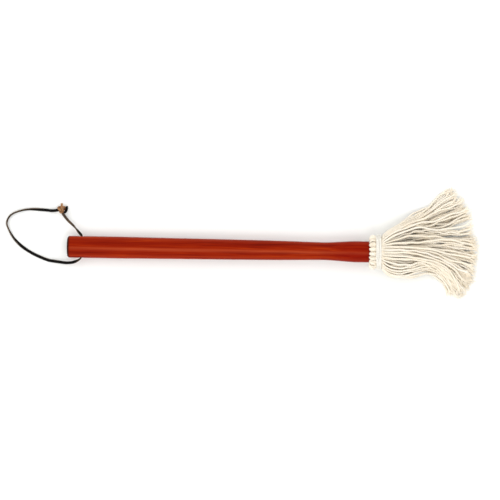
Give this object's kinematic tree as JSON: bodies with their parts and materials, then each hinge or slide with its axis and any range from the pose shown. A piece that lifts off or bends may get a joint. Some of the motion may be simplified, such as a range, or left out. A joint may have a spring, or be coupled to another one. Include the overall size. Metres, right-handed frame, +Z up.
{
  "type": "basting mop",
  "caption": "Basting mop: a long turned wooden handle, a head of cotton yarn folded and bound over its end, and a knotted leather hanging thong through the butt.",
  "frame": {"origin": "on the surface that the mop lies on, under the middle of the handle and head together", "axes": "+X along the handle towards the yarn head, +Z up from the surface, +Y across, the way the hanging hole runs"},
  "size_m": [0.4982, 0.1171, 0.0366],
  "materials": {
    "stained_wood": "red-brown stain under a satin varnish",
    "cotton_yarn": "natural off-white plied cotton, fuzzy",
    "cotton_twine": "white twisted cotton, matte",
    "leather_lace": "dark grain side, grey-brown suede side"
  },
  "bodies": {
    "mop": {"handle": "stained_wood", "inner_tie": "cotton_twine", "binding_twine": "cotton_twine", "yarn_lock_01": "cotton_yarn", "yarn_lock_02": "cotton_yarn", "yarn_lock_03": "cotton_yarn", "yarn_lock_04": "cotton_yarn", "yarn_lock_05": "cotton_yarn", "yarn_lock_06": "cotton_yarn", "yarn_lock_07": "cotton_yarn", "yarn_lock_08": "cotton_yarn", "yarn_lock_09": "cotton_yarn", "yarn_lock_10": "cotton_yarn", "yarn_lock_11": "cotton_yarn", "yarn_lock_12": "cotton_yarn", "yarn_lock_13": "cotton_yarn", "yarn_lock_14": "cotton_yarn", "yarn_lock_15": "cotton_yarn", "yarn_lock_16": "cotton_yarn", "yarn_lock_17": "cotton_yarn", "yarn_lock_18": "cotton_yarn", "yarn_lock_19": "cotton_yarn", "yarn_lock_20": "cotton_yarn"},
    "thong": {"leather_thong": "leather_lace", "thong_knot": "leather_lace"}
  },
  "joints": [
    {"name": "thong_swing", "type": "hinge", "parent": "mop", "child": "thong", "pos_m": [-0.201, -0.01, 0.01167], "axis": [0, 1, 0], "range_deg": [-140, 150]}
  ]
}
